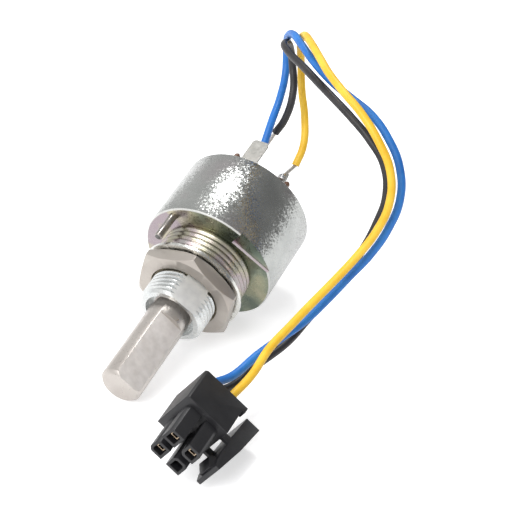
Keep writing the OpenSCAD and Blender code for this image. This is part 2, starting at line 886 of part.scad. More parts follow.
// Formed contact in cavity i: a box for the mating pin, and a barrel round the insulation
module contact(i) {
    sheet = 0.12;
    box_w = cavity_w - 0.3;
    box_h = cavity_w * 0.62;
    box_up = -cavity_w / 2 + 0.05;
    box_front = -0.5;
    box_len = 4.5;
    rod_d = 0.8;
    barrel_len = 1.6;
    barrel_over = 0.2;         // length of the barrel past the end of the insulation
    barrel_bore = wire_d + 0.06;
    color([0.75, 0.62, 0.48]) in_plug()
        translate([cells[i][0] * pitch / 2, cells[i][1] * pitch / 2, 0]) {
            difference() {
                translate([-box_w / 2, box_up, box_front - box_len])
                    cube([box_w, box_h, box_len]);
                translate([-box_w / 2 + sheet, box_up + sheet, box_front - box_len + 0.8])
                    cube([box_w - 2 * sheet, box_h - 2 * sheet, box_len]);
            }
            translate([0, 0, wire_stop + 0.05])
                cylinder(h = box_front - box_len - wire_stop, d = rod_d);
            difference() {
                translate([0, 0, wire_stop + barrel_over - barrel_len])
                    cylinder(h = barrel_len, d = barrel_bore + 2 * grip_t);
                translate([0, 0, wire_stop + 0.05 - barrel_len])
                    cylinder(h = barrel_len, d = barrel_bore);
            }
        }
}

housing();
threaded_bushing();
tooth_lock_washer();
hex_nut();
locating_pin();
shaft();
shaft_retaining_ring();
rotor();
wiper_contact();
element_carrier();
resistance_track();
collector_ring();
rear_cover();
terminal_rivets();
terminal(0);  // terminal_1
terminal(1);  // terminal_2
terminal(2);  // terminal_3
solder_joints();
conductor(0);  // conductor_blue
conductor(1);  // conductor_black
conductor(2);  // conductor_yellow
wire_blue();
wire_black();
wire_yellow();
contact(0);  // contact_blue
contact(1);  // contact_black
contact(2);  // contact_yellow
connector_housing();
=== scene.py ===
import json
from math import atan, cos, pi, radians, sin

import bpy
from mathutils import Matrix, Vector

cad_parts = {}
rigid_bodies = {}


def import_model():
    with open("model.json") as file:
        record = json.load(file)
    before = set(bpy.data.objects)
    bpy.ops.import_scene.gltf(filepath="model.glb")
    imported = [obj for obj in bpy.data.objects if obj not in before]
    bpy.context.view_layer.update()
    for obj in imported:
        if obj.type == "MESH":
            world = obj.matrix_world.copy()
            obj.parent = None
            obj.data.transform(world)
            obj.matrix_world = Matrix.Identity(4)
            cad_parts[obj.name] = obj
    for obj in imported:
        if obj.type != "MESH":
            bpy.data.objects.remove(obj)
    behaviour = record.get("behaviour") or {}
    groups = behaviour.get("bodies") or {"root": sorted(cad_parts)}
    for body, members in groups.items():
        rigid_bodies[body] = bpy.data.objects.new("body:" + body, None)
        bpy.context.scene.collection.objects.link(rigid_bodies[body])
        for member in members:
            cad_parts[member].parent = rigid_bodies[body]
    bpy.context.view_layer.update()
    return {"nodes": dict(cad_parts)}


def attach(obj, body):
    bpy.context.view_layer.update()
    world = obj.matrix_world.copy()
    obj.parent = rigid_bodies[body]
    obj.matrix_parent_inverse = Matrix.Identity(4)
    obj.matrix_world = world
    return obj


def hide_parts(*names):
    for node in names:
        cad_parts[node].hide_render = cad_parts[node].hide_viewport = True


for spare in list(bpy.data.objects):
    bpy.data.objects.remove(spare)

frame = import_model()
nodes = frame["nodes"]

# The camera looks down on the pot from the front and its right, with a long lens, as the
# product was photographed. The subject fills the square frame from lead loop to connector.
camera_data = bpy.data.cameras.new("camera")
camera_data.lens = 114.74
camera_data.sensor_width = 36
camera_data.clip_start = 0.02
camera_data.clip_end = 20
camera = bpy.data.objects.new("camera", camera_data)
bpy.context.scene.collection.objects.link(camera)
look_at = Vector((0.003986, 0.011379, 0.008147))
camera.location = Vector((0.100156, -0.169105, 0.129773))
camera.rotation_euler = (look_at - camera.location).to_track_quat("-Z", "Y").to_euler()
bpy.context.scene.camera = camera

# Three thin leads, blue, black and yellow, of stranded copper in soft extruded insulation.
# They rise from the solder lugs, turn over in the air and come down to the connector. Each
# route is in mm, from the lug to the cavity.
wire_width = 0.00115
routes = {
    "blue": [
        (1.3, 18.9, 21.7), (1.3, 21.7, 24.9), (0.6, 25.6, 26.8), (-0.2, 28.9, 29.3),
        (-0.5, 29.8, 33.2), (0.9, 27.4, 36), (3.4, 24.3, 37.9), (6.2, 21.3, 38),
        (9.4, 18.7, 37.1), (13, 16.6, 35.9), (16.8, 15.1, 34.8), (20.7, 13.9, 33.4),
        (23.9, 12.4, 31.2), (26.4, 10.6, 28.4), (27.5, 8.6, 24.9), (26.8, 6.7, 21.1),
        (25.1, 4.9, 17.5), (23, 2.8, 14.5), (21.1, 0, 11.8), (19.5, -3.5, 9.9),
        (17.9, -7.3, 8.9), (16.5, -11.5, 8.2), (15.4, -16, 7.4), (14.48, -20.7, 8.29),
        (14.81, -23.38, 8.29),
    ],
    "black": [
        (1.2, 22.9, 22.3), (2.3, 23.9, 24.4), (2.8, 25.5, 28.2), (1.5, 27.8, 31.4),
        (1.4, 26.9, 34.9), (2.2, 23.7, 36.3), (4.8, 20.9, 36.3), (8, 18.3, 36.2),
        (11.3, 16, 35.6), (14.7, 14.1, 34.6), (18.2, 12.6, 33.1), (21.5, 11.4, 31.1),
        (24.2, 10.4, 28.3), (25.2, 9.2, 24.5), (24.5, 8, 20.7), (23.2, 6.6, 16.9),
        (21.7, 4.6, 13.6), (20.2, 2.1, 10.8), (18.8, -1.1, 8.6), (17.7, -4.7, 6.8),
        (16.5, -8.4, 6), (15.6, -11.8, 5.8), (15.1, -15.6, 5.4), (12.56, -20.93, 5.99),
        (12.89, -23.62, 5.99),
    ],
    "yellow": [
        (4.6, 23, 17.7), (4.9, 24.9, 20.1), (3.8, 27.5, 23.4), (2.1, 29.8, 26.8),
        (1.2, 31.2, 30.8), (1.9, 29.5, 34.2), (3.6, 26.6, 36.7), (5.7, 23.5, 38.5),
        (8.2, 20.3, 39), (11, 17.1, 38.8), (14, 14.1, 38.1), (17.3, 11.7, 37.1),
        (20.9, 9.9, 35.4), (24, 8.6, 32.7), (26.3, 7.6, 29.3), (26.9, 6.4, 25.2),
        (25.9, 4.7, 21.4), (24.1, 2.4, 18.1), (22.2, -0.3, 15.3), (20.5, -3.7, 13),
        (19.3, -7.3, 11.3), (18.2, -11.2, 9.7), (17.7, -15.3, 7.7), (16.76, -20.42, 6.36),
        (17.09, -23.1, 6.36),
    ],
}
insulation_colours = {
    "blue": ((0.015, 0.15, 0.52), (0.025, 0.20, 0.62)),
    "black": ((0.012, 0.012, 0.014), (0.03, 0.028, 0.03)),
    "yellow": ((0.86, 0.50, 0.025), (0.95, 0.60, 0.05)),
}


def insulation(name, dark, light):
    """Soft extruded insulation: faint drag lines and a little handling dirt in its gloss."""
    finish = bpy.data.materials.new(name)
    finish.use_nodes = True
    tree = finish.node_tree
    shader = tree.nodes["Principled BSDF"]
    place = tree.nodes.new("ShaderNodeTexCoord")
    cloudy = tree.nodes.new("ShaderNodeTexNoise")
    cloudy.inputs["Scale"].default_value = 420
    cloudy.inputs["Detail"].default_value = 3
    tree.links.new(place.outputs["Object"], cloudy.inputs["Vector"])
    tint = tree.nodes.new("ShaderNodeValToRGB")
    tint.color_ramp.elements[0].position = 0.35
    tint.color_ramp.elements[0].color = (*dark, 1)
    tint.color_ramp.elements[1].position = 0.65
    tint.color_ramp.elements[1].color = (*light, 1)
    tree.links.new(cloudy.outputs["Fac"], tint.inputs["Fac"])
    tree.links.new(tint.outputs["Color"], shader.inputs["Base Color"])
    gloss = tree.nodes.new("ShaderNodeMapRange")
    gloss.inputs["To Min"].default_value = 0.36
    gloss.inputs["To Max"].default_value = 0.52
    tree.links.new(cloudy.outputs["Fac"], gloss.inputs["Value"])
    tree.links.new(gloss.outputs["Result"], shader.inputs["Roughness"])
    fine = tree.nodes.new("ShaderNodeTexNoise")
    fine.inputs["Scale"].default_value = 3200
    tree.links.new(place.outputs["Object"], fine.inputs["Vector"])
    bump = tree.nodes.new("ShaderNodeBump")
    bump.inputs["Strength"].default_value = 0.08
    bump.inputs["Distance"].default_value = 0.00003
    tree.links.new(fine.outputs["Fac"], bump.inputs["Height"])
    tree.links.new(bump.outputs["Normal"], shader.inputs["Normal"])
    shader.inputs["Specular IOR Level"].default_value = 0.45
    return finish


leads = {}
for colour, route in routes.items():
    line = bpy.data.curves.new("lead_" + colour, "CURVE")
    line.dimensions = "3D"
    line.bevel_depth = wire_width / 2
    line.bevel_resolution = 5
    line.resolution_u = 8
    line.use_fill_caps = True
    run = line.splines.new("BEZIER")
    run.bezier_points.add(len(route) - 1)
    for knot, point in zip(run.bezier_points, route):
        knot.co = Vector(point) / 1000
        knot.handle_left_type = "AUTO"
        knot.handle_right_type = "AUTO"
    lead = bpy.data.objects.new("lead_" + colour, line)
    bpy.context.scene.collection.objects.link(lead)
    lead.data.materials.append(insulation("insulation_" + colour, *insulation_colours[colour]))
    leads[colour] = lead
bpy.context.view_layer.update()
for colour, lead in leads.items():
    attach(lead, "pot")
    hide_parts("wire_" + colour)

# The pot's can is die-cast with its face and ridged boss, and plated. The side shows small crystals
# of the plating, and the face is smoother, with pale green, straw and pink tints; the face also has
# a dark base that grows darker towards its right, painted shade for the dim reflection it shows.
# The pot's pieces are made in mm, with Z along the shaft and 0 at the can's front face.
can_r = 10
can_len = 12.3
bore_r = 9.45
face_t = 1.4
rim_edge = 0.2
rim_bow = 0.06
back_edge_w = 0.05
back_edge_h = 0.1
boss_r = 7
boss_h = 4.2
ridges = 5
ridge_drop = 0.3
step_drop = 0.14
step_from = -41
step_to = 49
notch_drop = 0.42
notch_reach = 7.4
thread_r = 5
shaft_r = 3
press_fit = 0.02
hair = 0.001
overcut = 1
cutter_r = 9

# The pot lies on the can's rim and the shaft's tip, this far apart along the shaft.
rest_reach = 24.95
nose_down = atan((can_r - shaft_r) / rest_reach)
face_place = (0, 0.00431189, 0.00957421)
in_pot = Matrix.Translation(face_place) @ Matrix.Rotation(pi / 2 + nose_down, 4, "X") \
    @ Matrix.Scale(0.001, 4)

crystal_size = 0.0002
# How fast the face's tints slide from left to right, towards dark greens: a painted shade.
tint_and_shade_shift_per_m = 0.18 / 0.0095


def only(piece):
    """Selects one piece and nothing else."""
    bpy.ops.object.select_all(action="DESELECT")
    piece.select_set(True)
    bpy.context.view_layer.objects.active = piece


def turned(name, outline, steps=144, sweep=360, start=0):
    """A lathe's work: the outline of radius and height, in mm, turned about the shaft."""
    bpy.ops.object.select_all(action="DESELECT")
    bpy.ops.mesh.primitive_plane_add(size=1)
    piece = bpy.context.active_object
    piece.name = name
    bpy.ops.object.mode_set(mode="EDIT")
    bpy.ops.mesh.merge(type="CENTER")
    bpy.ops.transform.translate(value=(outline[0][0], 0, outline[0][1]))
    for here, there in zip(outline, outline[1:]):
        step = (there[0] - here[0], 0, there[1] - here[1])
        bpy.ops.mesh.extrude_region_move(TRANSFORM_OT_translate={"value": step})
    bpy.ops.mesh.select_all(action="SELECT")
    bpy.ops.mesh.remove_doubles(threshold=0.0005)
    if sweep < 360:
        bpy.ops.mesh.edge_face_add()
    bpy.ops.transform.rotate(value=-radians(start), orient_axis="Z", center_override=(0, 0, 0))
    bpy.ops.mesh.spin(steps=steps, angle=radians(sweep), center=(0, 0, 0), axis=(0, 0, 1))
    bpy.ops.mesh.select_all(action="SELECT")
    bpy.ops.mesh.remove_doubles(threshold=0.0005)
    bpy.ops.mesh.normals_make_consistent(inside=False)
    bpy.ops.object.mode_set(mode="OBJECT")
    return piece


def band(inner, outer, low, high):
    """The closed outline of a plain ring."""
    return [(inner, low), (outer, low), (outer, high), (inner, high), (inner, low)]


def block(name, low, high, turn=0):
    """A block between two corners, turned about the shaft's line by some degrees."""
    middle = [(a + b) / 2 for a, b in zip(low, high)]
    bpy.ops.object.select_all(action="DESELECT")
    bpy.ops.mesh.primitive_cube_add(size=1)
    piece = bpy.context.active_object
    piece.name = name
    piece.matrix_world = Matrix.Rotation(radians(turn), 4, "Z") @ Matrix.Translation(middle) \
        @ Matrix.Diagonal([b - a for a, b in zip(low, high)] + [1])
    bpy.ops.object.transform_apply(location=True, rotation=True, scale=True)
    return piece


def work(piece, kind, tool, operation):
    """Cuts, joins or crops a piece with a tool, which is used up."""
    only(piece)
    step = piece.modifiers.new(kind, "BOOLEAN")
    step.operation = operation
    step.solver = "EXACT"
    step.object = tool
    bpy.ops.object.modifier_apply(modifier=step.name)
    bpy.data.objects.remove(tool)


def break_edges(piece, width, angle=35, segments=2):
    """Breaks the sharp edges and shades the piece smooth between them."""
    only(piece)
    edge = piece.modifiers.new("edges", "BEVEL")
    edge.width = width
    edge.segments = segments
    edge.limit_method = "ANGLE"
    edge.angle_limit = radians(angle)
    bpy.ops.object.modifier_apply(modifier=edge.name)
    bpy.ops.object.shade_smooth_by_angle(angle=radians(30))


def fitted(piece, body, node):
    """Places a finished piece in the pot, with its body and its CAD node."""
    only(piece)
    piece.matrix_world = in_pot
    bpy.ops.object.transform_apply(location=True, rotation=True, scale=True)
    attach(piece, body)
    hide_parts(node)


def dressed(piece, *finishes):
    """Gives a piece its finishes, in place of any that it has."""
    piece.data.materials.clear()
    for finish in finishes:
        piece.data.materials.append(finish)


def coated(piece, finishes, choose):
    """Gives each face of a piece one of its finishes, as the face's place and normal say."""
    dressed(piece, *finishes)
    for face in piece.data.polygons:
        face.material_index = choose(face)


def plated(name, colour, rough, tints=(), grain=900, depth=0.00001, bite=0.2, spread=0.1,
           cloud_size=0.007, flakes=0, metal=1, tints_and_shade_across=False):
    """Plated metal: cloudy tints, uneven gloss, a fine grain and, where asked, crystals or tints
    that change from left to right and darken as they go, a painted shade; less metal makes a duller
    skin, which on the can's rim and step walls carries a painted highlight."""
    finish = bpy.data.materials.new(name)
    finish.use_nodes = True
    tree = finish.node_tree
    shader = tree.nodes["Principled BSDF"]
    shader.inputs["Metallic"].default_value = metal
    place = tree.nodes.new("ShaderNodeTexCoord")
    cloud = tree.nodes.new("ShaderNodeTexNoise")
    cloud.inputs["Scale"].default_value = 1 / cloud_size
    cloud.inputs["Detail"].default_value = 2
    tree.links.new(place.outputs["Object"], cloud.inputs["Vector"])
    tint = tree.nodes.new("ShaderNodeValToRGB")
    stops = [colour, *tints] if tints else [colour, [min(1, c * 1.08) for c in colour]]
    ramp = tint.color_ramp
    while len(ramp.elements) < len(stops):
        ramp.elements.new(0.5)
    for i, (element, stop) in enumerate(zip(ramp.elements, stops)):
        element.position = 0.32 + 0.36 * i / (len(stops) - 1)
        element.color = (*stop, 1)
    # Painted shade: the tints slide towards the ramp's darker stops on the right of the piece.
    if tints_and_shade_across:
        sides = tree.nodes.new("ShaderNodeSeparateXYZ")
        tree.links.new(place.outputs["Object"], sides.inputs["Vector"])
        slide = tree.nodes.new("ShaderNodeMath")
        slide.operation = "MULTIPLY_ADD"
        slide.inputs[1].default_value = tint_and_shade_shift_per_m
        tree.links.new(sides.outputs["X"], slide.inputs[0])
        tree.links.new(cloud.outputs["Fac"], slide.inputs[2])
        tree.links.new(slide.outputs["Value"], tint.inputs["Fac"])
    else:
        tree.links.new(cloud.outputs["Fac"], tint.inputs["Fac"])
    tree.links.new(tint.outputs["Color"], shader.inputs["Base Color"])
    speck = tree.nodes.new("ShaderNodeTexNoise")
    speck.inputs["Scale"].default_value = grain
    speck.inputs["Detail"].default_value = 4
    speck.inputs["Roughness"].default_value = 0.65
    tree.links.new(place.outputs["Object"], speck.inputs["Vector"])
    gloss = tree.nodes.new("ShaderNodeMapRange")
    gloss.inputs["From Min"].default_value = 0.3
    gloss.inputs["From Max"].default_value = 0.7
    gloss.inputs["To Min"].default_value = max(0.05, rough - spread)
    gloss.inputs["To Max"].default_value = rough + spread
    tree.links.new(speck.outputs["Fac"], gloss.inputs["Value"])
    tree.links.new(gloss.outputs["Result"], shader.inputs["Roughness"])
    bump = tree.nodes.new("ShaderNodeBump")
    bump.inputs["Strength"].default_value = bite
    bump.inputs["Distance"].default_value = depth
    tree.links.new(speck.outputs["Fac"], bump.inputs["Height"])
    tree.links.new(bump.outputs["Normal"], shader.inputs["Normal"])
    if flakes:
        crystal = tree.nodes.new("ShaderNodeTexVoronoi")
        crystal.inputs["Scale"].default_value = 1 / crystal_size
        tree.links.new(place.outputs["Object"], crystal.inputs["Vector"])
        tip = tree.nodes.new("ShaderNodeVectorMath")
        tip.operation = "SUBTRACT"
        tip.inputs[1].default_value = (0.5, 0.5, 0.5)
        tree.links.new(crystal.outputs["Color"], tip.inputs[0])
        lean = tree.nodes.new("ShaderNodeVectorMath")
        lean.operation = "SCALE"
        lean.inputs["Scale"].default_value = flakes
        tree.links.new(tip.outputs["Vector"], lean.inputs[0])
        tilted = tree.nodes.new("ShaderNodeVectorMath")
        tilted.operation = "ADD"
        tree.links.new(bump.outputs["Normal"], tilted.inputs[0])
        tree.links.new(lean.outputs["Vector"], tilted.inputs[1])
        straight = tree.nodes.new("ShaderNodeVectorMath")
        straight.operation = "NORMALIZE"
        tree.links.new(tilted.outputs["Vector"], straight.inputs[0])
        tree.links.new(straight.outputs["Vector"], shader.inputs["Normal"])
    return finish


def can_finish(face):
    """The finish of the can where a face lies on it. The limits, in mm, run between its forms:
    the broken rim, the side, the notch's floor, the step's walls, the boss and the front."""
    reach = Vector(face.center[:2]).length
    height = face.center.z
    facing = face.normal.z
    if reach > can_r - 0.25 and -0.16 < height < -0.005 and 0.3 < facing < 0.97:
        return rim
    if reach > can_r - 0.1 or height < -0.5:
        return side
    if height < 0.04 - notch_drop:
        return pocket
    if height < -0.01 and abs(facing) < 0.7:
        return wall
    if height > 0.05 and reach < boss_r + 0.01:
        return boss
    return front


ridge_h = boss_h / ridges
ridge_steps = 8
boss_side = [
    (boss_r - ridge_drop + ridge_drop * sin(pi * k / ridge_steps),
     (i + k / ridge_steps) * ridge_h)
    for i in range(ridges) for k in range(ridge_steps + 1)
]
can = turned("can", [
    (thread_r + press_fit, -face_t), (bore_r, -face_t), (bore_r, -can_len),
    (can_r - back_edge_w, -can_len), (can_r, back_edge_h - can_len), (can_r, -rim_edge),
    (can_r - rim_bow, -rim_bow), (can_r - rim_edge, 0), *boss_side,
    (thread_r + press_fit, boss_h), (thread_r + press_fit, -face_t)], steps=180)
step_cut = turned("step_cut", band(boss_r + hair, can_r + overcut, -step_drop, overcut),
                  steps=45, sweep=step_to - step_from, start=step_from)
work(can, "step", step_cut, "DIFFERENCE")
notch_cut = block("notch_cut", (notch_reach, -cutter_r, -notch_drop),
                  (can_r + overcut, 0, overcut), turn=step_to)
work(can, "notch", notch_cut, "DIFFERENCE")
break_edges(can, width=0.045)
side, front, pocket, wall, boss, rim = range(6)
can_finishes = [
    plated("can_side", (0.37, 0.38, 0.37), 0.25, ((0.44, 0.45, 0.435), (0.44, 0.42, 0.42)),
           grain=2500, depth=0.00002, bite=0.4, spread=0.08, flakes=0.2),
    # The face: its green, straw and pink hues are the plating's own, while its dark base and the
    # darkening to the right are painted shade for a dim reflection.
    plated("can_face", (0.33, 0.28, 0.30), 0.3,
           ((0.43, 0.40, 0.29), (0.33, 0.33, 0.23), (0.24, 0.265, 0.20), (0.15, 0.18, 0.145)),
           grain=1200, depth=0.00002, bite=0.2, cloud_size=0.006, flakes=0.06, tints_and_shade_across=True),
    plated("can_pocket", (0.13, 0.16, 0.13), 0.3,
           ((0.17, 0.21, 0.17), (0.24, 0.25, 0.20), (0.36, 0.22, 0.30)), grain=1200,
           cloud_size=0.005, flakes=0.06),
    # The step's and notch's walls get a pale pink, dull finish: a painted highlight for the bright
    # lines they show.
    plated("can_step_painted_highlight", (0.78, 0.66, 0.70), 0.35, ((0.84, 0.76, 0.80),), grain=1200, metal=0.2),
    plated("boss_ridges", (0.31, 0.30, 0.27), 0.27,
           ((0.37, 0.35, 0.27), (0.40, 0.34, 0.35), (0.37, 0.38, 0.36)), grain=1200,
           cloud_size=0.004),
    # The broken rim is paler and duller than the side: a painted highlight for the bright line
    # along the can's front edge.
    plated("can_rim_painted_highlight", (0.60, 0.60, 0.58), 0.35, grain=1200, metal=0.4),
]
coated(can, can_finishes, can_finish)
fitted(can, "pot", "housing")

# The bushing is turned from brass and plated, with a fine thread and a flat along it. Its
# mouth is bored out wider than the shaft, and its collar is pressed in from inside the can.
bushing_len = 11.3
bushing_bore_r = 3.03
mouth_r = 3.8
mouth_depth = 1.2
collar_r = 5.9
collar_back = -2
nut_front = 7.2
thread_bevel = 0.5
pitch = 0.75
depth_per_pitch = 0.54
minor_r = thread_r - depth_per_pitch * pitch
groove_from = 6
groove_depth = 0.5
groove_half = 0.36
groove_turns = 8
groove_steps = 96
flat_reach = 4.2
flat_turn = 49
cutter_top = 13
bushing = turned("bushing", [
    (bushing_bore_r, collar_back), (collar_r, collar_back), (collar_r, -face_t),
    (thread_r, -face_t), (thread_r, boss_h), (minor_r, boss_h), (minor_r, nut_front),
    (thread_r, nut_front), (thread_r, bushing_len - thread_bevel),
    (thread_r - thread_bevel, bushing_len), (mouth_r, bushing_len),
    (mouth_r, bushing_len - mouth_depth), (bushing_bore_r, bushing_len - mouth_depth),
    (bushing_bore_r, collar_back)], steps=128)
bpy.ops.mesh.primitive_plane_add(size=1)
groove = bpy.context.active_object
bpy.ops.object.mode_set(mode="EDIT")
bpy.ops.mesh.merge(type="CENTER")
bpy.ops.transform.translate(value=(minor_r, 0, groove_from))
out_and_up = (groove_depth, 0, groove_half)
bpy.ops.mesh.extrude_region_move(TRANSFORM_OT_translate={"value": out_and_up})
bpy.ops.mesh.extrude_region_move(TRANSFORM_OT_translate={"value": (0, 0, -2 * groove_half)})
bpy.ops.mesh.select_all(action="SELECT")
bpy.ops.mesh.edge_face_add()
bpy.ops.object.mode_set(mode="OBJECT")
winding = groove.modifiers.new("winding", "SCREW")
winding.screw_offset = pitch
winding.iterations = groove_turns
winding.steps = groove_steps
winding.render_steps = groove_steps
winding.use_merge_vertices = False
only(groove)
bpy.ops.object.modifier_apply(modifier=winding.name)
bpy.ops.object.mode_set(mode="EDIT")
bpy.ops.mesh.select_all(action="SELECT")
bpy.ops.mesh.remove_doubles(threshold=0.0005)
bpy.ops.mesh.select_all(action="DESELECT")
bpy.ops.mesh.select_mode(type="EDGE")
bpy.ops.mesh.select_non_manifold()
bpy.ops.mesh.fill()
bpy.ops.mesh.select_all(action="SELECT")
bpy.ops.mesh.normals_make_consistent(inside=False)
bpy.ops.mesh.select_mode(type="VERT")
bpy.ops.object.mode_set(mode="OBJECT")
work(bushing, "thread", groove, "DIFFERENCE")
flat_cut = block("flat_cut", (flat_reach, -cutter_r, boss_h), (cutter_r, cutter_r, cutter_top),
                 turn=flat_turn)
work(bushing, "flat", flat_cut, "DIFFERENCE")
only(bushing)
bpy.ops.object.shade_smooth_by_angle(angle=radians(25))
bushing_finishes = [
    plated("bushing_metal", (0.56, 0.58, 0.58), 0.3, ((0.64, 0.65, 0.64),), grain=1400,
           depth=0.00002, bite=0.25, cloud_size=0.003),
    plated("bushing_flat", (0.64, 0.64, 0.63), 0.5, ((0.74, 0.74, 0.72),), grain=3000,
           depth=0.00004, bite=0.4, cloud_size=0.001, metal=0.1),
]
bushing_flat_way = Vector((cos(radians(flat_turn)), sin(radians(flat_turn)), 0))
coated(bushing, bushing_finishes, lambda face:
       int(face.normal.dot(bushing_flat_way) > 0.999 and face.center.z > boss_h))
fitted(bushing, "pot", "threaded_bushing")

# The lock washer is stamped from thin spring steel and zinc-plated. Its inner teeth are
# twisted, so that they bite the boss behind and the nut in front.
washer_r = 7.75
washer_hole_r = 6.25
washer_h = 1
washer_t = 0.5
tooth_count = 10
tooth_tip_r = 5.15
tooth_root_r = 6.55
tooth_half = 0.85
tooth_t = 0.4
tooth_twist = 20
washer_middle = boss_h + washer_h / 2
washer = turned("washer", band(washer_hole_r, washer_r, washer_middle - washer_t / 2,
                               washer_middle + washer_t / 2))
for i in range(tooth_count):
    tooth = block("tooth", (tooth_tip_r, -tooth_half, -tooth_t / 2),
                  (tooth_root_r, tooth_half, tooth_t / 2))
    tooth.matrix_world = Matrix.Rotation(2 * pi * i / tooth_count, 4, "Z") \
        @ Matrix.Translation((0, 0, washer_middle)) \
        @ Matrix.Rotation(radians(tooth_twist), 4, "X")
    only(tooth)
    bpy.ops.object.transform_apply(location=True, rotation=True, scale=True)
    work(washer, "tooth", tooth, "UNION")
break_edges(washer, width=0.06)
dressed(washer, plated("washer_metal", (0.64, 0.64, 0.61), 0.26, grain=1300, depth=0.00002))
fitted(washer, "pot", "tooth_lock_washer")

# A plain hex nut of nickel-plated brass, with its corners turned off at both ends and its bore
# opened where the thread starts.
nut_back = boss_h + washer_h
nut_t = nut_front - nut_back
nut_af = 14
nut_turn = 10.5
nut_bore_r = 4.61
nut_mouth_r = 5.3
nut_mouth_h = 0.45
corner_r = nut_af / 2 / cos(radians(30))
past_corner = 0.1
past_bevel = 0.058
bevel_r = nut_af / 2 + 0.1
bevel_slope = 0.577
bevel_h = (corner_r - bevel_r) * bevel_slope
bpy.ops.object.select_all(action="DESELECT")
bpy.ops.mesh.primitive_cylinder_add(vertices=6, radius=corner_r, depth=nut_t)
nut = bpy.context.active_object
nut.name = "nut"
nut.matrix_world = Matrix.Translation((0, 0, nut_back + nut_t / 2)) \
    @ Matrix.Rotation(radians(nut_turn - 30), 4, "Z")
bpy.ops.object.transform_apply(location=True, rotation=True, scale=True)
round_off = turned("round_off", [
    (nut_bore_r, nut_back), (bevel_r, nut_back),
    (corner_r + past_corner, nut_back + bevel_h + past_bevel),
    (corner_r + past_corner, nut_front - bevel_h - past_bevel), (bevel_r, nut_front),
    (nut_mouth_r, nut_front), (nut_bore_r, nut_front - nut_mouth_h), (nut_bore_r, nut_back)])
work(nut, "corners", round_off, "INTERSECT")
break_edges(nut, width=0.09)
nut_finishes = [
    plated("nut_metal", (0.42, 0.38, 0.345), 0.38, ((0.48, 0.445, 0.405),), grain=2600,
           depth=0.00002, bite=0.35, metal=0.75),
    # The bore and its opened mouth are olive brown: a painted brownish reflection around the
    # thread.
    plated("nut_bore", (0.40, 0.35, 0.26), 0.3, ((0.48, 0.43, 0.34),), grain=1700),
]
coated(nut, nut_finishes, lambda face:
       int(Vector(face.center[:2]).length < nut_mouth_r + 0.1 and face.normal.z < 0.95))
fitted(nut, "pot", "hex_nut")

# The locating pin is a short steel pin pressed into the face, with a chamfer at its end and a
# fine ring turned in its side.
pin_r = 0.575
pin_len = 4.5
pin_chamfer = 0.15
pin_reach = 8.85
pin_turn = 118.5
mark_z = 2.14
mark_half = 0.04
mark_depth = 0.02
pin = turned("pin", [
    (0, -face_t), (pin_r, -face_t), (pin_r, mark_z - mark_half), (pin_r - mark_depth, mark_z),
    (pin_r, mark_z + mark_half), (pin_r, pin_len - pin_chamfer),
    (pin_r - pin_chamfer, pin_len), (0, pin_len)], steps=48)
pin.data.transform(Matrix.Rotation(radians(pin_turn), 4, "Z")
                   @ Matrix.Translation((pin_reach, 0, 0)))
break_edges(pin, width=0.02)
pin_finishes = [
    plated("pin_side", (0.30, 0.28, 0.26), 0.34, ((0.40, 0.375, 0.35),)),
    # The pin's end face is near black: painted shade for the dim reflection it shows.
    plated("pin_end_painted_shade", (0.11, 0.11, 0.11), 0.4, ((0.17, 0.165, 0.16),)),
]
coated(pin, pin_finishes, lambda face:
       int(face.normal.z > 0.9 and face.center.z > pin_len - 0.1))
fitted(pin, "pot", "locating_pin")

# The shaft is a turned and plated brass rod, with a milled flat for a knob. It turns in the
# bushing and is held by a ring inside the can.
shaft_len = 25.2
shaft_back = -3.15
tip_chamfer = 0.45
ring_groove_r = 2.4
ring_groove = (-2.65, -2.05)
relief_r = 2.8
relief = (10.3, 11.35)
shaft_flat_reach = 2.2
shaft_flat_from = 13.2
shaft_flat_turn = 43
shaft_cutter_r = 6
shaft_cutter_top = 27
shaft = turned("shaft_rod", [
    (0, shaft_back), (shaft_r, shaft_back), (shaft_r, ring_groove[0]),
    (ring_groove_r, ring_groove[0]), (ring_groove_r, ring_groove[1]),
    (shaft_r, ring_groove[1]), (shaft_r, relief[0]), (relief_r, relief[0]),
    (relief_r, relief[1]), (shaft_r, relief[1]), (shaft_r, shaft_len - tip_chamfer),
    (shaft_r - tip_chamfer, shaft_len), (0, shaft_len)], steps=128)
shaft_flat_cut = block("shaft_flat_cut", (shaft_flat_reach, -shaft_cutter_r, shaft_flat_from),
                       (shaft_cutter_r, shaft_cutter_r, shaft_cutter_top), turn=shaft_flat_turn)
work(shaft, "flat", shaft_flat_cut, "DIFFERENCE")
break_edges(shaft, width=0.05)
shaft_finishes = [
    plated("shaft_metal", (0.46, 0.42, 0.39), 0.34, ((0.54, 0.505, 0.47),), grain=2200,
           depth=0.00001, bite=0.3, metal=0.75),
    plated("shaft_milled", (0.60, 0.56, 0.53), 0.5, ((0.72, 0.68, 0.65),), grain=3600,
           depth=0.00004, bite=0.4, cloud_size=0.0012, metal=0.1),
]
shaft_flat_way = Vector((cos(radians(shaft_flat_turn)), sin(radians(shaft_flat_turn)), 0))
coated(shaft, shaft_finishes, lambda face:
       int(face.normal.dot(shaft_flat_way) > 0.98 and face.center.z > shaft_flat_from))
fitted(shaft, "spindle", "shaft")

# The works inside the can: a moulded rotor on the shaft with its brass wiper, the spring steel
# ring that holds the shaft, and the phenolic disc with its printed carbon track and silver ring.


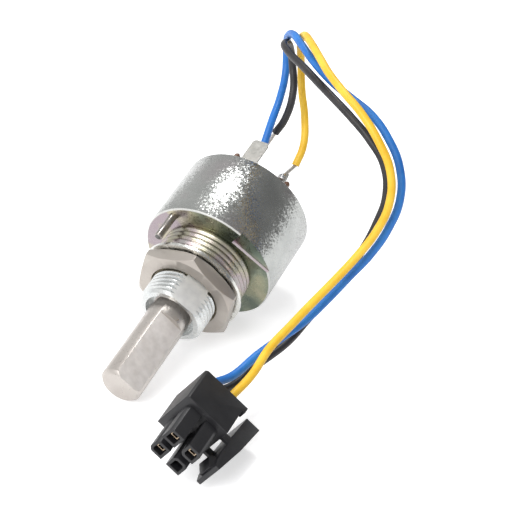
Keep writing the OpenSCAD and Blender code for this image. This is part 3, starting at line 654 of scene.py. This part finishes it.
def moulded(name, dark, light, rough=0.5, grain=1500, bite=0.15):
    """Moulded plastic or board: a fine tooth from the mould and a slight cloud in the colour."""
    finish = bpy.data.materials.new(name)
    finish.use_nodes = True
    tree = finish.node_tree
    shader = tree.nodes["Principled BSDF"]
    place = tree.nodes.new("ShaderNodeTexCoord")
    cloud = tree.nodes.new("ShaderNodeTexNoise")
    cloud.inputs["Scale"].default_value = grain / 5
    cloud.inputs["Detail"].default_value = 4
    tree.links.new(place.outputs["Object"], cloud.inputs["Vector"])
    tint = tree.nodes.new("ShaderNodeValToRGB")
    tint.color_ramp.elements[0].position = 0.3
    tint.color_ramp.elements[0].color = (*dark, 1)
    tint.color_ramp.elements[1].position = 0.7
    tint.color_ramp.elements[1].color = (*light, 1)
    tree.links.new(cloud.outputs["Fac"], tint.inputs["Fac"])
    tree.links.new(tint.outputs["Color"], shader.inputs["Base Color"])
    tooth = tree.nodes.new("ShaderNodeTexNoise")
    tooth.inputs["Scale"].default_value = grain
    tooth.inputs["Detail"].default_value = 3
    tree.links.new(place.outputs["Object"], tooth.inputs["Vector"])
    gloss = tree.nodes.new("ShaderNodeMapRange")
    gloss.inputs["To Min"].default_value = rough - 0.08
    gloss.inputs["To Max"].default_value = rough + 0.08
    tree.links.new(tooth.outputs["Fac"], gloss.inputs["Value"])
    tree.links.new(gloss.outputs["Result"], shader.inputs["Roughness"])
    bump = tree.nodes.new("ShaderNodeBump")
    bump.inputs["Strength"].default_value = bite
    bump.inputs["Distance"].default_value = 0.00003
    tree.links.new(tooth.outputs["Fac"], bump.inputs["Height"])
    tree.links.new(bump.outputs["Normal"], shader.inputs["Normal"])
    return finish


dressed(nodes["shaft_retaining_ring"], plated("ring_steel", (0.42, 0.42, 0.43), 0.35))
dressed(nodes["rotor"], moulded("rotor_plastic", (0.03, 0.03, 0.035), (0.05, 0.05, 0.055)))
dressed(nodes["wiper_contact"], plated("wiper_brass", (0.72, 0.52, 0.24), 0.3))
dressed(nodes["element_carrier"], moulded("phenolic_board", (0.20, 0.10, 0.05), (0.28, 0.15, 0.08)))
dressed(nodes["resistance_track"],
        moulded("carbon_film", (0.015, 0.015, 0.015), (0.03, 0.03, 0.03)))
dressed(nodes["collector_ring"], plated("silver_ink", (0.62, 0.62, 0.60), 0.5))

# The back of the pot: a brown phenolic cover with two pegs, pressed into the can, and three
# tinned lugs, each held by a rivet, that stand out of its slots. A stripped lead is soldered
# in each.
dressed(nodes["rear_cover"], moulded("cover_phenolic", (0.13, 0.065, 0.04), (0.2, 0.105, 0.065)))
tin = plated("lug_tin", (0.27, 0.265, 0.245), 0.5, ((0.35, 0.34, 0.315),), grain=1800,
             depth=0.00004, bite=0.35, cloud_size=0.002, metal=0.4)
for node in ("terminal_rivets", "terminal_1", "terminal_2", "terminal_3"):
    dressed(nodes[node], tin)
strands = plated("tinned_copper", (0.46, 0.43, 0.39), 0.4, ((0.54, 0.51, 0.47),), grain=1200,
                 metal=0.6)
for node in ("conductor_blue", "conductor_black", "conductor_yellow"):
    dressed(nodes[node], strands)
dressed(nodes["solder_joints"], plated("solder", (0.60, 0.60, 0.60), 0.25, ((0.68, 0.68, 0.68),)))

# The connector is one black nylon moulding: four keyed towers on a block, and a latch lever with a
# hook that springs over its mate. A formed bronze contact sits in three of the towers.
join = 0.000002
moulded_edge = 0.00006
shell = bpy.data.objects.new("connector_shell", nodes["connector_housing"].data.copy())
bpy.context.scene.collection.objects.link(shell)
only(shell)
bpy.ops.mesh.customdata_custom_splitnormals_clear()
bpy.ops.object.mode_set(mode="EDIT")
bpy.ops.mesh.select_all(action="SELECT")
bpy.ops.mesh.remove_doubles(threshold=join)
bpy.ops.mesh.dissolve_limited(angle_limit=radians(1))
bpy.ops.object.mode_set(mode="OBJECT")
break_edges(shell, width=moulded_edge, angle=30)
nylon = moulded("black_nylon", (0.010, 0.010, 0.012), (0.017, 0.017, 0.019), rough=0.42,
                grain=2600, bite=0.2)
dressed(shell, nylon)
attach(shell, "pot")
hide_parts("connector_housing")
bronze = plated("contact_bronze", (0.40, 0.31, 0.22), 0.3, ((0.48, 0.39, 0.29),), grain=1500)
for colour, lead in leads.items():
    dressed(nodes["contact_" + colour], bronze)

# The pot lies on a plain pale sheet. It stays white where the camera or a shiny piece sees it,
# and still takes the shadow.
sheet_size = 8
sheet_colour = (0.8, 0.8, 0.81)
sheet_lift = 0.55
bpy.ops.object.select_all(action="DESELECT")
bpy.ops.mesh.primitive_plane_add(size=sheet_size)
floor = bpy.context.active_object
floor.name = "floor"
paper = bpy.data.materials.new("paper")
paper.use_nodes = True
tree = paper.node_tree
tree.nodes.clear()
out = tree.nodes.new("ShaderNodeOutputMaterial")
sheet = tree.nodes.new("ShaderNodeBsdfDiffuse")
sheet.inputs["Color"].default_value = (*sheet_colour, 1)
lift = tree.nodes.new("ShaderNodeEmission")
lift.inputs["Strength"].default_value = sheet_lift
both = tree.nodes.new("ShaderNodeAddShader")
seen = tree.nodes.new("ShaderNodeLightPath")
looked_at = tree.nodes.new("ShaderNodeMath")
looked_at.operation = "MAXIMUM"
tree.links.new(seen.outputs["Is Camera Ray"], looked_at.inputs[0])
tree.links.new(seen.outputs["Is Glossy Ray"], looked_at.inputs[1])
swap = tree.nodes.new("ShaderNodeMixShader")
tree.links.new(sheet.outputs["BSDF"], both.inputs[0])
tree.links.new(lift.outputs["Emission"], both.inputs[1])
tree.links.new(looked_at.outputs["Value"], swap.inputs["Fac"])
tree.links.new(sheet.outputs["BSDF"], swap.inputs[1])
tree.links.new(both.outputs["Shader"], swap.inputs[2])
tree.links.new(swap.outputs["Shader"], out.inputs["Surface"])
floor.data.materials.append(paper)

# The studio's walls are pale, and darker high behind the pot on its right, which gives the can
# its dark side. One soft lamp stands high behind, and one fills from the front.
dark_wall = (0.66, 0.56, 0.5)
wall_shades = [(-0.45, 1.0), (-0.15, 0.82), (0.3, 0.64), (0.62, 0.42), (0.95, 0.3)]
world = bpy.data.worlds.new("studio")
bpy.context.scene.world = world
world.use_nodes = True
tree = world.node_tree
tree.nodes.clear()
out = tree.nodes.new("ShaderNodeOutputWorld")
room = tree.nodes.new("ShaderNodeBackground")
way = tree.nodes.new("ShaderNodeTexCoord")
toward = tree.nodes.new("ShaderNodeVectorMath")
toward.operation = "DOT_PRODUCT"
toward.inputs[1].default_value = dark_wall
reach = tree.nodes.new("ShaderNodeMapRange")
reach.inputs["From Min"].default_value = -1
rise = tree.nodes.new("ShaderNodeValToRGB")
while len(rise.color_ramp.elements) < len(wall_shades):
    rise.color_ramp.elements.new(0.5)
for element, (nearness, shade) in zip(rise.color_ramp.elements, wall_shades):
    element.position = (nearness + 1) / 2
    element.color = (shade, shade, shade, 1)
tree.links.new(way.outputs["Generated"], toward.inputs[0])
tree.links.new(toward.outputs["Value"], reach.inputs["Value"])
tree.links.new(reach.outputs["Result"], rise.inputs["Fac"])
tree.links.new(rise.outputs["Color"], room.inputs["Color"])
tree.links.new(room.outputs["Background"], out.inputs["Surface"])

lamp_aim = Vector((0.005, 0, 0.01))


def softbox(name, place, size, power):
    """A square lamp on a stand, aimed at the pot."""
    lamp = bpy.data.lights.new(name, "AREA")
    lamp.shape = "SQUARE"
    lamp.size = size
    lamp.energy = power
    stand = bpy.data.objects.new(name, lamp)
    bpy.context.scene.collection.objects.link(stand)
    stand.location = place
    aim = lamp_aim - stand.location
    stand.rotation_euler = aim.to_track_quat("-Z", "Y").to_euler()


softbox("key", (-0.16, 0.33, 0.82), 0.25, 3)
softbox("fill", (-0.1, -0.6, 0.6), 0.5, 4)

bpy.context.scene.view_settings.view_transform = "Standard"
